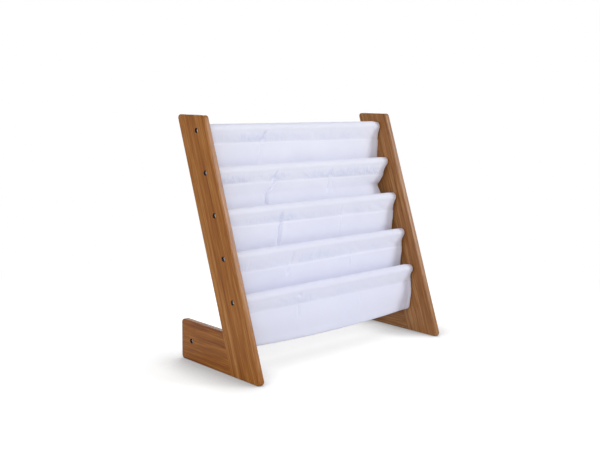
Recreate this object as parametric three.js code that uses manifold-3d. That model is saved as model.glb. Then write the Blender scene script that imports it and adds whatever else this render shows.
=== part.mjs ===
// Sling bookshelf: two leaning wooden side frames joined by round crossrails, with a cloth sling
// hung over the front rails so that its folds make the book pockets.
// Millimetres. X runs left to right, Y front to back and Z up. The origin is on the floor, at the
// middle of the shelf's width and depth.
import * as THREE from 'three';
import * as BufferGeometryUtils from 'three/addons/utils/BufferGeometryUtils.js';
import Module from 'manifold-3d';

const wasm = await Module();
wasm.setup();

// Whole shelf
const overallHeight = 600;
const overallWidth = 648;
const leanShare = 0.35; // how far an upright leans back for each unit that it rises

// Side boards
const boardThickness = 16;
const uprightWidth = 97; // square to the lean
const footReach = 300; // the upright's front corner to the foot's rear end
const footHeight = 100;
const cornerRadius = 9;
const edgeRadius = 2.5;

// Crossrails
const railDiameter = 22;
const slingRailCount = 5;
const topRailDrop = 36.5; // the upright's top down to the first rail's axis
const lowestRailHeight = 175.5;
const railInset = 36.5; // the upright's front edge to the rail axes, square to the lean
const rearRailInset = 40; // the foot's rear end to the rear rail's axis

// Bolts, and the threaded inserts in the rail ends
const boltDiameter = 6;
const boltOvershoot = 8; // bolt tip beyond the insert
const boltTipChamfer = 1;
const headDiameter = 10;
const headHeight = 4;
const headEdge = 0.8;
const headSeatWall = 7.2; // wood left under a bolt head
const socketWidth = 5; // across the flats
const socketDepth = 2.5;
const insertDiameter = 10;
const insertLength = 15;
const insertSink = 0.5; // insert below the rail's end face
const tipRoom = 3; // bore beyond the bolt tip

// Pins that join each foot to its upright
const pinDiameter = 8;
const pinLength = 36;
const pinChamfer = 1;
const pinHeightShares = [0.3, 0.7]; // of the foot's height

// Cloth
const clothThickness = 1.2;
const seamDrop = 33.5; // a rail's axis down to the stitch line under it
const seamHeight = 6; // the sewn band, flat
const seamForward = 3.5; // the stitch line in front of the rail's axis
const sleeveApexRise = 2; // the end of a sleeve's hollow above the sewn band
const pocketFloorGap = 50; // the lowest pocket above the floor, at mid-width
const pocketSag = 11; // a pocket's bottom at mid-width below its ends
const wallBulge = 4; // a pocket wall in front of its stitch line
const creaseDrop = 27; // the fold across the second panel, below its sewn band
const creaseDepth = 14;
const creasePull = 13; // each side edge drawn in at that fold
const creasedPanel = 1; // counted from the top, from zero

// Clearances
const headClearance = 1;
const boreClearance = 0.3; // round a bolt, an insert or a pin, in radius
const seatGap = 0.3; // between faces that bear on each other
const railEase = 0.4; // between a rail and its cloth sleeve
const clothSideGap = 3; // between the cloth and the boards
const cutOverrun = 2; // of a cutter past the face that it opens

// Faceting
const cornerSteps = 5;
const edgeSteps = 3;
const railFacets = 20;
const boltFacets = 16;
const hiddenFacets = 12;
const sleeveSteps = 10;
const foldSteps = 8;
const wallShares = [0, 0.12, 0.27, 0.43, 0.57, 0.72, 0.87];
const widthShares = [-1, -0.8, -0.55, -0.3, 0, 0.3, 0.55, 0.8, 1];

// Sizes that follow from the ones above
const slant = Math.hypot(1, leanShare);
const uprightSpan = uprightWidth * slant; // the upright's width along the floor
const innerWidth = overallWidth - 2 * boardThickness;
const railRadius = railDiameter / 2;
const railPitch = (overallHeight - topRailDrop - lowestRailHeight) / (slingRailCount - 1);
const pocketDrop = lowestRailHeight - pocketFloorGap - pocketSag; // below the pocket's front rail
const clothHalfWidth = innerWidth / 2 - clothSideGap;
const layerOffset = (clothThickness + seatGap) / 2; // of each cloth layer at a double stretch
const sewnHalfThickness = clothThickness + seatGap / 2;
const boltReach = seatGap + insertSink + insertLength + boltOvershoot; // from the board's inner face
const boltLength = headSeatWall + boltReach; // under the head
const insertBoreDepth = insertSink + insertLength + seatGap;

const wood = new THREE.MeshStandardMaterial({ color: 0x91653a, roughness: 0.55, metalness: 0 });
const pinWood = new THREE.MeshStandardMaterial({ color: 0xc9a878, roughness: 0.7, metalness: 0 });
const steel = new THREE.MeshStandardMaterial({ color: 0xb6b8bc, roughness: 0.35, metalness: 1 });
const brass = new THREE.MeshStandardMaterial({ color: 0xb59a5b, roughness: 0.4, metalness: 1 });
const cloth = new THREE.MeshStandardMaterial({ color: 0xe4e6f2, roughness: 0.95, metalness: 0 });

const sides = [
  { name: 'left', outward: -1 },
  { name: 'right', outward: 1 },
];

// Solids

// One closed skin: shared corners merged, and the slivers that a merge leaves dropped.
function weld(geometry) {
  const bare = geometry.clone();
  bare.deleteAttribute('normal');
  bare.deleteAttribute('uv');
  const merged = BufferGeometryUtils.mergeVertices(bare);
  const corners = merged.index.array;
  const kept = [];
  for (let i = 0; i < corners.length; i += 3) {
    const [a, b, c] = corners.slice(i, i + 3);
    if (a !== b && b !== c && c !== a) {
      kept.push(a, b, c);
    }
  }
  merged.setIndex(kept);
  return merged;
}

function toSolid(geometry) {
  const skin = weld(geometry);
  const mesh = new wasm.Mesh({
    numProp: 3,
    vertProperties: skin.attributes.position.array,
    triVerts: Uint32Array.from(skin.index.array),
  });
  return new wasm.Manifold(mesh);
}

function toGeometry(solid) {
  const mesh = solid.getMesh();
  const geometry = new THREE.BufferGeometry();
  geometry.setAttribute('position', new THREE.BufferAttribute(mesh.vertProperties, 3));
  geometry.setIndex(new THREE.BufferAttribute(mesh.triVerts, 1));
  geometry.computeVertexNormals();
  return geometry;
}

// A solid turned about the X axis. Each point of the profile is [place along X, radius].
function turned(profile, facets) {
  const points = profile.map(([along, radius]) => new THREE.Vector2(radius, along));
  const geometry = weld(new THREE.LatheGeometry(points, facets));
  geometry.rotateZ(-Math.PI / 2);
  geometry.computeVertexNormals();
  return geometry;
}

// Stands a shape drawn in Y and Z across the shelf, along X.
function acrossShelf(geometry) {
  const alongY = new THREE.Vector3(0, 1, 0);
  const alongZ = new THREE.Vector3(0, 0, 1);
  const alongX = new THREE.Vector3(1, 0, 0);
  return geometry.applyMatrix4(new THREE.Matrix4().makeBasis(alongY, alongZ, alongX));
}

function named(name, geometry, material) {
  const mesh = new THREE.Mesh(geometry, material);
  mesh.name = name;
  return mesh;
}

// Side outline, in Y from the upright's front corner and Z from the floor

// The arc that rounds one corner of an outline, or the corner itself where it stays sharp.
function cornerPoints(before, corner, after) {
  if (corner.radius === 0) {
    return [corner.at];
  }
  const toBefore = before.at.clone().sub(corner.at).normalize();
  const toAfter = after.at.clone().sub(corner.at).normalize();
  const halfAngle = Math.acos(toBefore.dot(toAfter)) / 2;
  const bisector = toBefore.clone().add(toAfter).normalize();
  const centre = corner.at.clone().addScaledVector(bisector, corner.radius / Math.sin(halfAngle));
  const start = corner.at.clone().addScaledVector(toBefore, corner.radius / Math.tan(halfAngle));
  const turn = Math.sign(toAfter.cross(toBefore)) * (Math.PI - 2 * halfAngle);
  return Array.from({ length: cornerSteps + 1 }, (_, i) => {
    return start.clone().rotateAround(centre, (turn * i) / cornerSteps);
  });
}

function roundedOutline(corners) {
  return corners.flatMap((corner, i) => {
    return cornerPoints(corners.at(i - 1), corner, corners[(i + 1) % corners.length]);
  });
}

function outlineCorner(y, z, radius) {
  return { at: new THREE.Vector2(y, z), radius };
}

const sideOutline = roundedOutline([
  outlineCorner(0, 0, cornerRadius),
  outlineCorner(footReach, 0, cornerRadius),
  outlineCorner(footReach, footHeight, cornerRadius),
  outlineCorner(uprightSpan + leanShare * footHeight, footHeight, 0),
  outlineCorner(uprightSpan + leanShare * overallHeight, overallHeight, cornerRadius),
  outlineCorner(leanShare * overallHeight, overallHeight, cornerRadius),
]);

function slingRailAxis(index) {
  const height = overallHeight - topRailDrop - index * railPitch;
  return new THREE.Vector2(leanShare * height + railInset * slant, height);
}

const slingRailAxes = Array.from({ length: slingRailCount }, (_, i) => slingRailAxis(i));
const rearRailAxis = new THREE.Vector2(footReach - rearRailInset, footHeight / 2);

// Side frames

// Where the pins cross the joint between the upright and the foot, square to it.
const pinAngle = -Math.atan(leanShare);
const pinCentres = pinHeightShares.map((share) => {
  const height = share * footHeight;
  return new THREE.Vector2(uprightSpan + leanShare * height, height);
});

// A pin, or the bore for one, along Y and tilted square to the joint.
function pinGeometry(centre, radius, length, chamfer) {
  const half = length / 2;
  const profile = [
    [-half, 0],
    [-half, radius - chamfer],
    [-half + chamfer, radius],
    [half - chamfer, radius],
    [half, radius - chamfer],
    [half, 0],
  ];
  const geometry = turned(profile, hiddenFacets);
  geometry.rotateZ(Math.PI / 2);
  geometry.rotateX(pinAngle);
  return geometry.translate(0, centre.x, centre.y);
}

// The stepped hole for a bolt, open at both faces of a board that is centred on X = 0.
function boltHole(axis, outward) {
  const face = boardThickness / 2;
  const seat = headSeatWall - face;
  const shankRadius = boltDiameter / 2 + boreClearance;
  const headRadius = headDiameter / 2 + headClearance;
  const profile = [
    [-face - cutOverrun, 0],
    [-face - cutOverrun, shankRadius],
    [seat, shankRadius],
    [seat, headRadius],
    [face + cutOverrun, headRadius],
    [face + cutOverrun, 0],
  ];
  const geometry = turned(profile, boltFacets);
  if (outward < 0) {
    geometry.rotateZ(Math.PI);
  }
  return geometry.translate(0, axis.x, axis.y);
}

// Both boards of a side as one blank with rounded edges.
function sideBlank() {
  const depth = boardThickness - 2 * edgeRadius;
  const geometry = new THREE.ExtrudeGeometry(new THREE.Shape(sideOutline), {
    depth,
    bevelThickness: edgeRadius,
    bevelSize: edgeRadius,
    bevelOffset: -edgeRadius,
    bevelSegments: edgeSteps,
  });
  return acrossShelf(geometry.translate(0, 0, -depth / 2));
}

// A block that holds everything on one side of the joint line, which leans as the upright does.
function jointBlock(behind) {
  const reach = overallHeight + footReach;
  const nearest = uprightSpan + (behind ? -1 : 1) * (seatGap / 2) * slant;
  const farthest = nearest + (behind ? -reach : reach);
  const shape = new THREE.Shape([
    new THREE.Vector2(nearest - leanShare * cutOverrun, -cutOverrun),
    new THREE.Vector2(farthest - leanShare * cutOverrun, -cutOverrun),
    new THREE.Vector2(farthest + leanShare * reach, reach),
    new THREE.Vector2(nearest + leanShare * reach, reach),
  ]);
  const depth = boardThickness + 2 * cutOverrun;
  const geometry = new THREE.ExtrudeGeometry(shape, { depth, bevelEnabled: false });
  return acrossShelf(geometry.translate(0, 0, -depth / 2));
}

function boardGeometry(isUpright, outward) {
  const boltAxes = isUpright ? slingRailAxes : [rearRailAxis];
  const boreRadius = pinDiameter / 2 + boreClearance;
  const boreLength = pinLength + 2 * seatGap;
  const cutters = [
    ...boltAxes.map((axis) => boltHole(axis, outward)),
    ...pinCentres.map((centre) => pinGeometry(centre, boreRadius, boreLength, pinChamfer)),
  ];
  const blank = toSolid(sideBlank()).intersect(toSolid(jointBlock(isUpright)));
  const board = cutters.reduce((solid, cutter) => solid.subtract(toSolid(cutter)), blank);
  return toGeometry(board);
}

function sideFrame({ name, outward }) {
  const frame = new THREE.Group();
  frame.position.x = (outward * (overallWidth - boardThickness)) / 2;
  frame.add(named(`${name}_upright`, boardGeometry(true, outward), wood));
  frame.add(named(`${name}_foot`, boardGeometry(false, outward), wood));
  pinCentres.forEach((centre, i) => {
    const pin = pinGeometry(centre, pinDiameter / 2, pinLength, pinChamfer);
    frame.add(named(`${name}_joint_pin_${i + 1}`, pin, pinWood));
  });
  return frame;
}

// Crossrails

// A rail along X, bored from both ends for an insert and the bolt tip beyond it.
function railGeometry() {
  const end = innerWidth / 2 - seatGap;
  const insertRadius = insertDiameter / 2 + boreClearance;
  const tipRadius = boltDiameter / 2 + boreClearance;
  const tipDepth = insertBoreDepth + boltOvershoot + tipRoom;
  const rightEnd = [
    [end, railRadius],
    [end, insertRadius],
    [end - insertBoreDepth, insertRadius],
    [end - insertBoreDepth, tipRadius],
    [end - tipDepth, tipRadius],
    [end - tipDepth, 0],
  ];
  const leftEnd = rightEnd.map(([along, radius]) => [-along, radius]).reverse();
  const outside = turned([[-end, 0], [-end, railRadius], [end, railRadius], [end, 0]], railFacets);
  const bores = [leftEnd.slice(0, -1), rightEnd.slice(1)].map((profile) => boreCutter(profile));
  const solid = bores.reduce((rail, bore) => rail.subtract(toSolid(bore)), toSolid(outside));
  return toGeometry(solid);
}

// The cutter for a stepped bore, run past the rail's end face.
function boreCutter(profile) {
  const ordered = profile[0][1] === 0 ? profile : [...profile].reverse();
  const [mouthPlace, mouthRadius] = ordered.at(-1);
  const past = mouthPlace + Math.sign(mouthPlace) * cutOverrun;
  const points = [...ordered.slice(0, -1), [past, mouthRadius], [past, 0]];
  return turned(mouthPlace > 0 ? points : [...points].reverse(), boltFacets);
}

// The head faces +X, and its underside is at X = 0.
function boltGeometry() {
  const headRadius = headDiameter / 2;
  const shankRadius = boltDiameter / 2;
  const profile = [
    [-boltLength, 0],
    [-boltLength, shankRadius - boltTipChamfer],
    [-boltLength + boltTipChamfer, shankRadius],
    [0, shankRadius],
    [0, headRadius],
    [headHeight - headEdge, headRadius],
    [headHeight, headRadius - headEdge],
    [headHeight, 0],
  ];
  const socketLength = socketDepth + cutOverrun;
  const socket = new THREE.CylinderGeometry(
    socketWidth / Math.sqrt(3),
    socketWidth / Math.sqrt(3),
    socketLength,
    6,
  );
  socket.rotateZ(Math.PI / 2);
  socket.translate(headHeight - socketDepth + socketLength / 2, 0, 0);
  return toGeometry(toSolid(turned(profile, boltFacets)).subtract(toSolid(socket)));
}

// The insert's outer end is at X = 0 and it runs towards -X.
function insertGeometry() {
  const outside = turned(
    [
      [-insertLength, 0],
      [-insertLength, insertDiameter / 2],
      [0, insertDiameter / 2],
      [0, 0],
    ],
    hiddenFacets,
  );
  const boreRadius = boltDiameter / 2 + boreClearance;
  const bore = turned(
    [
      [-insertLength - cutOverrun, 0],
      [-insertLength - cutOverrun, boreRadius],
      [cutOverrun, boreRadius],
      [cutOverrun, 0],
    ],
    boltFacets,
  );
  return toGeometry(toSolid(outside).subtract(toSolid(bore)));
}

// Bolt and insert at one end of a rail.
function railFixing({ name, outward }, label, axis) {
  const fixing = new THREE.Group();
  const bolt = named(`${name}_${label}_bolt`, boltGeometry(), steel);
  bolt.position.x = innerWidth / 2 + headSeatWall + seatGap;
  const insert = named(`${name}_${label}_insert`, insertGeometry(), brass);
  insert.position.x = innerWidth / 2 - seatGap - insertSink;
  fixing.add(bolt, insert);
  fixing.rotation.z = outward < 0 ? Math.PI : 0;
  fixing.position.set(0, axis.x, axis.y);
  return fixing;
}

function railSet(railName, label, axis) {
  const set = new THREE.Group();
  const rail = named(railName, railGeometry(), wood);
  rail.position.set(0, axis.x, axis.y);
  set.add(rail, ...sides.map((side) => railFixing(side, label, axis)));
  return set;
}

// Cloth sling, drawn in Y and Z about each rail's axis

// The angle at which a line from a point below touches a circle about the rail's axis.
function tangentAngle(point, radius, side) {
  return point.angle() + side * Math.acos(radius / point.length());
}

// Over the top of the rail, from the front tangent to the rear one.
function overRail(radius, frontPoint, rearPoint) {
  const front = tangentAngle(frontPoint, radius, -1);
  const rear = tangentAngle(rearPoint, radius, 1) - 2 * Math.PI;
  return Array.from({ length: sleeveSteps + 1 }, (_, i) => {
    const angle = front + ((rear - front) * i) / sleeveSteps;
    return new THREE.Vector2(radius * Math.cos(angle), radius * Math.sin(angle));
  });
}

// A sleeve: cloth over the rail, closed under it by the sewn band.
function sleeveGeometry() {
  const bandTop = -seamDrop + seamHeight / 2;
  const bandBottom = -seamDrop - seamHeight / 2;
  const front = -seamForward - sewnHalfThickness;
  const rear = -seamForward + sewnHalfThickness;
  const innerRadius = railRadius + railEase;
  const frontPoint = new THREE.Vector2(front, bandTop);
  const rearPoint = new THREE.Vector2(rear, bandTop);
  const apex = new THREE.Vector2(-seamForward, bandTop + sleeveApexRise);
  const shape = new THREE.Shape([
    new THREE.Vector2(front, bandBottom),
    frontPoint,
    ...overRail(innerRadius + clothThickness, frontPoint, rearPoint),
    rearPoint,
    new THREE.Vector2(rear, bandBottom),
  ]);
  const hollow = [apex, ...overRail(innerRadius, apex, apex)];
  shape.holes.push(new THREE.Path(hollow.reverse()));
  const depth = 2 * clothHalfWidth;
  const geometry = new THREE.ExtrudeGeometry(shape, { depth, bevelEnabled: false });
  return acrossShelf(geometry.translate(0, 0, -depth / 2));
}

// How much of the fold across a panel shows at a depth under its sewn band.
function creaseShare(panel, depth) {
  return panel === creasedPanel ? Math.max(0, 1 - Math.abs(depth / creaseDrop - 1)) : 0;
}

// A point of a pocket's middle line: its place, and how far its side edge is drawn in.
function wallPoint(panel, layerSide, depth, bulgeShare) {
  const seam = slingRailAxes[panel];
  const fold = creaseShare(panel, depth);
  const y = seam.x - seamForward + layerSide * layerOffset - wallBulge * bulgeShare;
  const z = seam.y - seamDrop - seamHeight / 2 - seatGap - depth;
  return { y: y + creaseDepth * fold, z, drawnIn: creasePull * fold };
}

// The middle line of a pocket, from the rear stitch line down, round its fold and up to the front
// one. A fuller share lowers the fold, as the middle of the cloth sags.
function pocketLine(index, widthShare) {
  const sag = pocketSag * (1 - widthShare * widthShare);
  const rearFoot = wallPoint(index, -1, 0, 0);
  const frontFoot = wallPoint(index + 1, 1, 0, 0);
  const foldRadius = (rearFoot.y - frontFoot.y) / 2;
  const foldHeight = slingRailAxes[index + 1].y - pocketDrop + clothThickness / 2 + foldRadius;
  const frontDepth = frontFoot.z - foldHeight;
  const rearWall = wallShares.map((share) => {
    return wallPoint(index, -1, share * frontDepth, Math.sin(Math.PI * share));
  });
  const frontWall = wallShares.map((share) => {
    return wallPoint(index + 1, 1, share * frontDepth, Math.sin(Math.PI * share));
  });
  const fold = Array.from({ length: foldSteps + 1 }, (_, i) => {
    const angle = (Math.PI * i) / foldSteps;
    return {
      y: (rearFoot.y + frontFoot.y) / 2 + foldRadius * Math.cos(angle),
      z: foldHeight - foldRadius * Math.sin(angle) - sag,
      drawnIn: 0,
    };
  });
  return [...rearWall, ...fold, ...frontWall.reverse()];
}

// Both faces of a strip of cloth about its middle line, as one closed outline.
function stripOutline(line) {
  const faces = [-1, 1].map((side) => {
    return line.map((point, i) => {
      const before = line[Math.max(i - 1, 0)];
      const after = line[Math.min(i + 1, line.length - 1)];
      const along = new THREE.Vector2(after.y - before.y, after.z - before.z).normalize();
      const offset = (side * clothThickness) / 2;
      return { ...point, y: point.y - offset * along.y, z: point.z + offset * along.x };
    });
  });
  return [...faces[0], ...faces[1].reverse()];
}

// A skin over outlines that stand one after another along X, closed at both ends.
function loft(sections) {
  const count = sections[0].length;
  const positions = sections.flat().flatMap((point) => [point.x, point.y, point.z]);
  const faces = [];
  for (let s = 0; s + 1 < sections.length; s += 1) {
    for (let i = 0; i < count; i += 1) {
      const next = (i + 1) % count;
      const [a, b] = [s * count + i, s * count + next];
      faces.push(a, b, b + count, a, b + count, a + count);
    }
  }
  const flat = sections[0].map((point) => new THREE.Vector2(point.y, point.z));
  const last = (sections.length - 1) * count;
  THREE.ShapeUtils.triangulateShape(flat, []).forEach(([a, b, c]) => {
    faces.push(c, b, a, last + a, last + b, last + c);
  });
  const geometry = new THREE.BufferGeometry();
  geometry.setAttribute('position', new THREE.Float32BufferAttribute(positions, 3));
  geometry.setIndex(faces);
  geometry.computeVertexNormals();
  return geometry;
}

function pocketGeometry(index) {
  const sections = widthShares.map((share) => {
    return stripOutline(pocketLine(index, share)).map(({ y, z, drawnIn }) => {
      return { x: share * (clothHalfWidth - drawnIn), y, z };
    });
  });
  return loft(sections);
}

function sling() {
  const group = new THREE.Group();
  slingRailAxes.forEach((axis, i) => {
    const sleeve = named(`sling_sleeve_${i + 1}`, sleeveGeometry(), cloth);
    sleeve.position.set(0, axis.x, axis.y);
    group.add(sleeve);
  });
  slingRailAxes.slice(1).forEach((_, i) => {
    group.add(named(`sling_pocket_${i + 1}`, pocketGeometry(i), cloth));
  });
  return group;
}

// The whole shelf, moved so that the origin is under its middle
const sideBox = new THREE.Box2().setFromPoints(sideOutline);
const shelf = new THREE.Group();
shelf.position.y = -(sideBox.min.x + sideBox.max.x) / 2;
shelf.add(...sides.map(sideFrame));
slingRailAxes.forEach((axis, i) => {
  shelf.add(railSet(`sling_rail_${i + 1}`, `rail_${i + 1}`, axis));
});
shelf.add(railSet('rear_rail', 'rear_rail', rearRailAxis));
shelf.add(sling());

export default shelf;
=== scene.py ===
import math

import bmesh
import bpy
from mathutils import Matrix, Vector, noise
from mathutils.bvhtree import BVHTree


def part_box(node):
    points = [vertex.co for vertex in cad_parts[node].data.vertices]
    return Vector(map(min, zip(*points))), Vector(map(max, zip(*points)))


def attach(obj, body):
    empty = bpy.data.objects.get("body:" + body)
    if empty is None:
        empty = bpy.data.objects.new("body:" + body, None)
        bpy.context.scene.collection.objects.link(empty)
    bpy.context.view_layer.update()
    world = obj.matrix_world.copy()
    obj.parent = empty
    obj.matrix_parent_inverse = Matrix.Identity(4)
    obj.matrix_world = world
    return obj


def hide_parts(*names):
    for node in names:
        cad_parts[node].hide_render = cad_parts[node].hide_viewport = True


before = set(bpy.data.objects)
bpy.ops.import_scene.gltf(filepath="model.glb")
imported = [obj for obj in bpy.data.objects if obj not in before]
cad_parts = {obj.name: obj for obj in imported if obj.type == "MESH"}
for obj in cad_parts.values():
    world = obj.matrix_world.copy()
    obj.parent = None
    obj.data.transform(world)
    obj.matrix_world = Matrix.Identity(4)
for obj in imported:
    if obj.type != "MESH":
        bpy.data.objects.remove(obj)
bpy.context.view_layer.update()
print("sling bookshelf: frame loaded")

# Lengths are in metres. X runs left to right, Y front to back, Z up from the floor.
shelf = {
    "height": 0.600,
    "width": 0.648,
    "lean": 0.35,  # back for each unit up
    "boardThickness": 0.016,
    "uprightWidth": 0.097,
    "footReach": 0.300,
    "footHeight": 0.100,
    "topRailDrop": 0.0365,
    "lowestRailHeight": 0.1755,
    "railInset": 0.0365,
    "railRadius": 0.011,
    "railCount": 5,
}
slant = math.hypot(1, shelf["lean"])
leanAngle = math.atan(shelf["lean"])
innerWidth = shelf["width"] - 2 * shelf["boardThickness"]
lastRail = shelf["railCount"]
lastPocket = lastRail - 1
railNumbers = range(1, lastRail + 1)
railPitch = (shelf["height"] - shelf["topRailDrop"] - shelf["lowestRailHeight"]) / lastPocket
tolerance = {"same": 1e-6, "cut": 1e-7, "inside": 1e-5}


def middleOf(node):
    low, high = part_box(node)
    return (low + high) / 2


def linkedObject(name, data):
    obj = bpy.data.objects.new(name, data)
    bpy.context.scene.collection.objects.link(obj)
    return obj


railAxes = {f"rail_{n}": middleOf(f"sling_rail_{n}") for n in railNumbers}
railAxes["rear_rail"] = middleOf("rear_rail")
# where the side outline's sharp front corner would stand on the floor
frontCorner = railAxes["rail_1"].y - shelf["lean"] * railAxes["rail_1"].z - shelf["railInset"] * slant

# Camera

camera = {
    "place": (-1.536883, -1.578067, 0.649128),
    "heading": 43.0612,  # degrees from +Y towards +X
    "tilt": 8.5285,  # degrees down
    "roll": 0.7122,
    "lens": 52.081,
    "farthest": 60,
}


def placeCamera():
    data = bpy.data.cameras.new("camera")
    data.lens = camera["lens"]
    data.clip_end = camera["farthest"]
    obj = linkedObject("camera", data)
    obj.matrix_world = (
        Matrix.Translation(camera["place"])
        @ Matrix.Rotation(math.radians(-camera["heading"]), 4, "Z")
        @ Matrix.Rotation(math.radians(90 - camera["tilt"]), 4, "X")
        @ Matrix.Rotation(math.radians(camera["roll"]), 4, "Z")
    )
    bpy.context.scene.camera = obj


placeCamera()
bpy.context.scene.view_settings.view_transform = "Standard"

# Materials


def toLinear(rgb):
    return tuple((c / 12.92) if c <= 0.04045 else ((c + 0.055) / 1.055) ** 2.4
                 for c in (v / 255 for v in rgb))


def newMaterial(name):
    material = bpy.data.materials.new(name)
    material.use_nodes = True
    tree = material.node_tree
    return material, tree, tree.nodes["Principled BSDF"]


def node(tree, kind, **values):
    made = tree.nodes.new(kind)
    for key, value in values.items():
        setattr(made, key, value)
    return made


def mathNode(tree, operation, *values):
    made = node(tree, "ShaderNodeMath", operation=operation)
    for socket, value in zip(made.inputs, values):
        if isinstance(value, (int, float)):
            socket.default_value = value
        else:
            tree.links.new(value, socket)
    return made.outputs[0]


def times(tree, first, second):
    return mathNode(tree, "MULTIPLY", first, second)


def plus(tree, first, second):
    return mathNode(tree, "ADD", first, second)


def oneMinus(tree, value):
    return mathNode(tree, "SUBTRACT", 1, value)


def weightedSum(tree, values, shares):
    total, *rest = [times(tree, values[name], share) for name, share in shares.items()]
    for part in rest:
        total = plus(tree, total, part)
    return total


def setInputs(made, values):
    for name, value in values.items():
        made.inputs[name].default_value = value


def objectPlace(tree):
    return node(tree, "ShaderNodeTexCoord").outputs["Object"]


def splitPlace(tree, vector):
    made = node(tree, "ShaderNodeSeparateXYZ")
    tree.links.new(vector, made.inputs[0])
    return made.outputs


def noiseNode(tree, vector, scale, detail, roughness=0.55, distortion=0.0):
    made = node(tree, "ShaderNodeTexNoise")
    setInputs(made, {"Scale": scale, "Detail": detail, "Roughness": roughness, "Distortion": distortion})
    tree.links.new(vector, made.inputs["Vector"])
    return made.outputs["Fac"]


def stretched(tree, vector, scale, turn=(0, 0, 0)):
    made = node(tree, "ShaderNodeMapping")
    setInputs(made, {"Scale": scale, "Rotation": turn})
    tree.links.new(vector, made.inputs["Vector"])
    return made.outputs["Vector"]


def layerNoise(tree, place, layer, turn=(0, 0, 0)):
    scale, *look = layer
    return noiseNode(tree, stretched(tree, place, scale, turn), 1.0, *look)


def greys(tones):
    return [(tone, tone, tone) for tone in tones]


def ramp(tree, factor, stops, shades):
    made = node(tree, "ShaderNodeValToRGB")
    band = made.color_ramp
    while len(band.elements) < len(stops):
        band.elements.new(0.5)
    for element, place, rgb in zip(band.elements, stops, shades):
        element.position = place
        element.color = (*toLinear(rgb), 1)
    tree.links.new(factor, made.inputs["Fac"])
    return made.outputs["Color"]


def mixColours(tree, factor, colour, rgb):
    made = node(tree, "ShaderNodeMix", data_type="RGBA")
    tree.links.new(factor, made.inputs[0])
    tree.links.new(colour, made.inputs[6])
    made.inputs[7].default_value = (*toLinear(rgb), 1)
    return made.outputs[2]


def bump(tree, shader, height, strength, distance):
    made = node(tree, "ShaderNodeBump")
    setInputs(made, {"Strength": strength, "Distance": distance})
    tree.links.new(height, made.inputs["Height"])
    tree.links.new(made.outputs["Normal"], shader.inputs["Normal"])


oak = {
    "left": {"dark": (116, 60, 8), "middle": (148, 89, 22), "light": (175, 123, 66)},
    "right": {"dark": (123, 76, 37), "middle": (156, 107, 63), "light": (181, 138, 94)},
    "toneShares": {"fine": 0.34, "broad": 0.22, "lines": 0.36, "strip": 0.07},
    "toneStops": (0.37, 0.50, 0.63),
    "pore": (92, 40, 6),
    "poreStops": (0.58, 0.70),
    "poreShare": 0.35,
    "stripWidth": 0.034,  # glued strips across a board
    "stripStart": 0.013,  # times the wood's seed
    "stripSeed": 7.31,
    "stripShift": 0.7,
    "roughness": 0.36,
    "grainRoughness": 0.16,  # more where the fine grain is light
    "surface": {"Coat Weight": 0.42, "Coat Roughness": 0.22, "Coat IOR": 1.5, "Specular IOR Level": 0.02},
    "reliefShares": {"fine": 0.6, "pores": -0.5},
    "bump": (0.25, 0.0006),  # strength and depth, here and below
}
# changes in a metre along, across and through the wood, and a noise's detail, roughness, distortion
grainLayers = {
    "fine": ((3, 120, 80), 6.0, 0.62, 0.35),
    "broad": ((1, 22, 16), 3.0, 0.5, 0.5),
    "pores": ((30, 520, 420), 2.0, 0.5, 0.0),
    "lines": ((11, 300, 240), 2.0, 0.5, 0.4),
}


def grainNoise(tree, place, along, layer):
    (slow, fast, through), *look = grainLayers[layer]
    scale = {"X": (slow, fast, fast), "Y": (through, slow, fast), "Z": (through, fast, slow)}[along]
    return layerNoise(tree, place, (scale, *look))


def woodMaterial(name, along, seed, tones="left", turn=0):
    material, tree, shader = newMaterial(name)
    turned = stretched(tree, objectPlace(tree), (1, 1, 1), (turn, 0, 0))
    across = splitPlace(tree, turned)["Y" if along == "Z" else "Z"]
    # every glued strip has its own tone and place in the grain
    counted = mathNode(tree, "DIVIDE", plus(tree, across, seed * oak["stripStart"]), oak["stripWidth"])
    pick = node(tree, "ShaderNodeTexWhiteNoise", noise_dimensions="1D")
    tree.links.new(plus(tree, mathNode(tree, "FLOOR", counted), seed * oak["stripSeed"]), pick.inputs["W"])
    shift = node(tree, "ShaderNodeVectorMath", operation="MULTIPLY_ADD")
    tree.links.new(pick.outputs["Color"], shift.inputs[0])
    shift.inputs[1].default_value = (oak["stripShift"],) * 3
    tree.links.new(turned, shift.inputs[2])
    layers = {layer: grainNoise(tree, shift.outputs["Vector"], along, layer) for layer in grainLayers}
    tone = weightedSum(tree, {**layers, "strip": pick.outputs["Value"]}, oak["toneShares"])
    body = ramp(tree, tone, oak["toneStops"], oak[tones].values())
    pores = ramp(tree, layers["pores"], oak["poreStops"], greys((0, 255)))
    colour = mixColours(tree, times(tree, pores, oak["poreShare"]), body, oak["pore"])
    tree.links.new(colour, shader.inputs["Base Color"])
    rough = plus(tree, times(tree, layers["fine"], oak["grainRoughness"]), oak["roughness"])
    tree.links.new(rough, shader.inputs["Roughness"])
    setInputs(shader, oak["surface"])
    bump(tree, shader, weightedSum(tree, layers, oak["reliefShares"]), *oak["bump"])
    return material


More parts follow.
